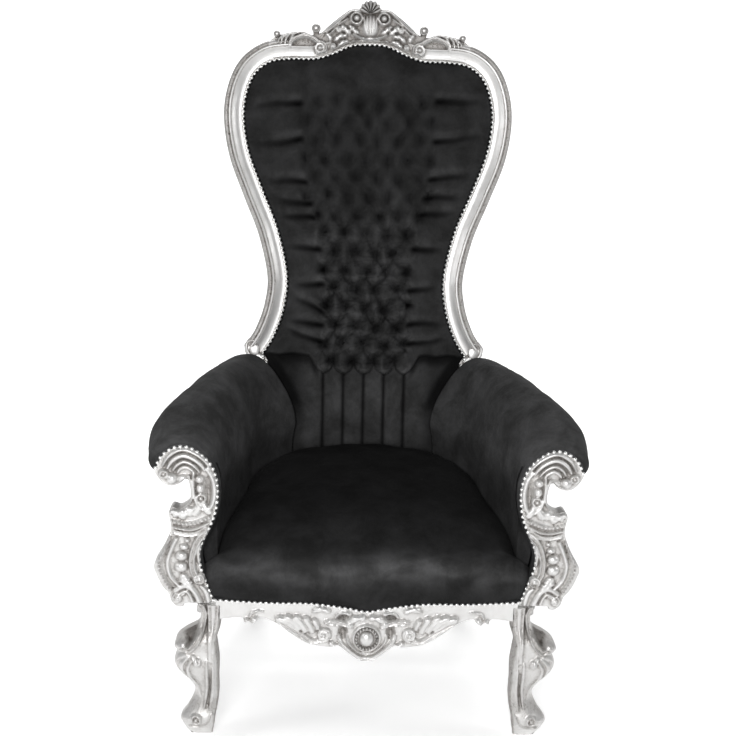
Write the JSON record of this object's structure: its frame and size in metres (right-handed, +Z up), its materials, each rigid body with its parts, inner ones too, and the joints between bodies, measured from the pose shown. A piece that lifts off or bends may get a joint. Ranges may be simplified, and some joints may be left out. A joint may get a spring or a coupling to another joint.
{
  "type": "throne",
  "caption": "High-backed armchair throne with a carved silver-leafed frame, cabriole front legs, deep buttoned black velvet back, domed seat and rolled arms.",
  "frame": {"origin": "on the floor, under the middle of the throne's bounding box", "axes": "+Z up, the throne faces -Y, +X is on the left hand of someone sitting in it"},
  "size_m": [1, 0.817, 1.7012],
  "materials": {
    "silver_leaf": "carved wood under silver leaf, with a brown-grey glaze left in the recesses",
    "black_velvet": "black velvet with a soft grey sheen along the nap",
    "nail_heads": "bright domed nail heads"
  },
  "bodies": {
    "root": {"crest_rail": "silver_leaf", "left_back_post": "silver_leaf", "right_back_post": "silver_leaf", "back_rail": "silver_leaf", "left_side_rail": "silver_leaf", "right_side_rail": "silver_leaf", "front_rail": "silver_leaf", "left_front_leg": "silver_leaf", "right_front_leg": "silver_leaf", "left_arm_support": "silver_leaf", "right_arm_support": "silver_leaf", "back_upholstery": "black_velvet", "seat_upholstery": "black_velvet", "left_arm_upholstery": "black_velvet", "right_arm_upholstery": "black_velvet", "back_nail_trim": "nail_heads", "left_arm_nail_trim": "nail_heads", "right_arm_nail_trim": "nail_heads", "seat_nail_trim": "nail_heads"}
  },
  "joints": []
}
